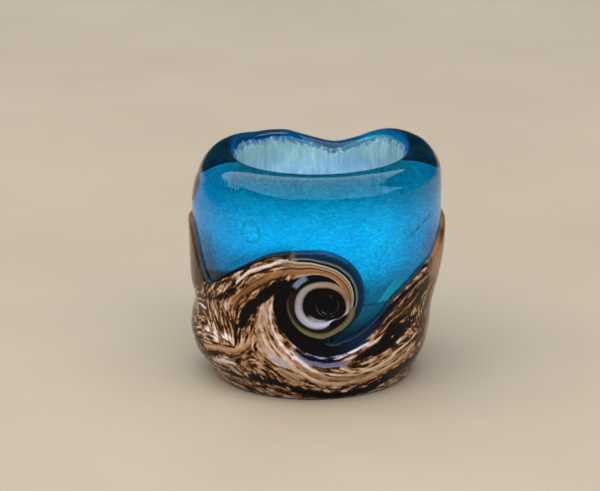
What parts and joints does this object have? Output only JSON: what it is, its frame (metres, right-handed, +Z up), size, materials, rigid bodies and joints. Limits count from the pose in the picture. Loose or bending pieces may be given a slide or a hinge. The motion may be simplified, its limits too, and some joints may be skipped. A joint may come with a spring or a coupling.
{
  "type": "dreadlock bead",
  "caption": "Thick blue glass tube bead for a lock of hair, with a raised band of mixed ivory, brown and black glass round its foot in curling waves and a pale coating in its wide bore.",
  "frame": {"origin": "centre of the bead's outline on the surface that it stands on", "axes": "+Z up along the bore, from the foot to the rim; -Y is the side with the curl that faces the viewer; +X to that viewer's right"},
  "size_m": [0.0156, 0.0156, 0.014],
  "materials": {
    "blue_glass": "gloss, clear azure blue right through",
    "bead_coating": "matte, pale, chalky, with faint brush streaks",
    "mixed_glass": "gloss, opaque, ivory, tan, brown and black drawn into streaks and curls"
  },
  "bodies": {
    "root": {"glass_body": "blue_glass", "bore_lining": "bead_coating", "wave_band": "mixed_glass"}
  },
  "joints": []
}
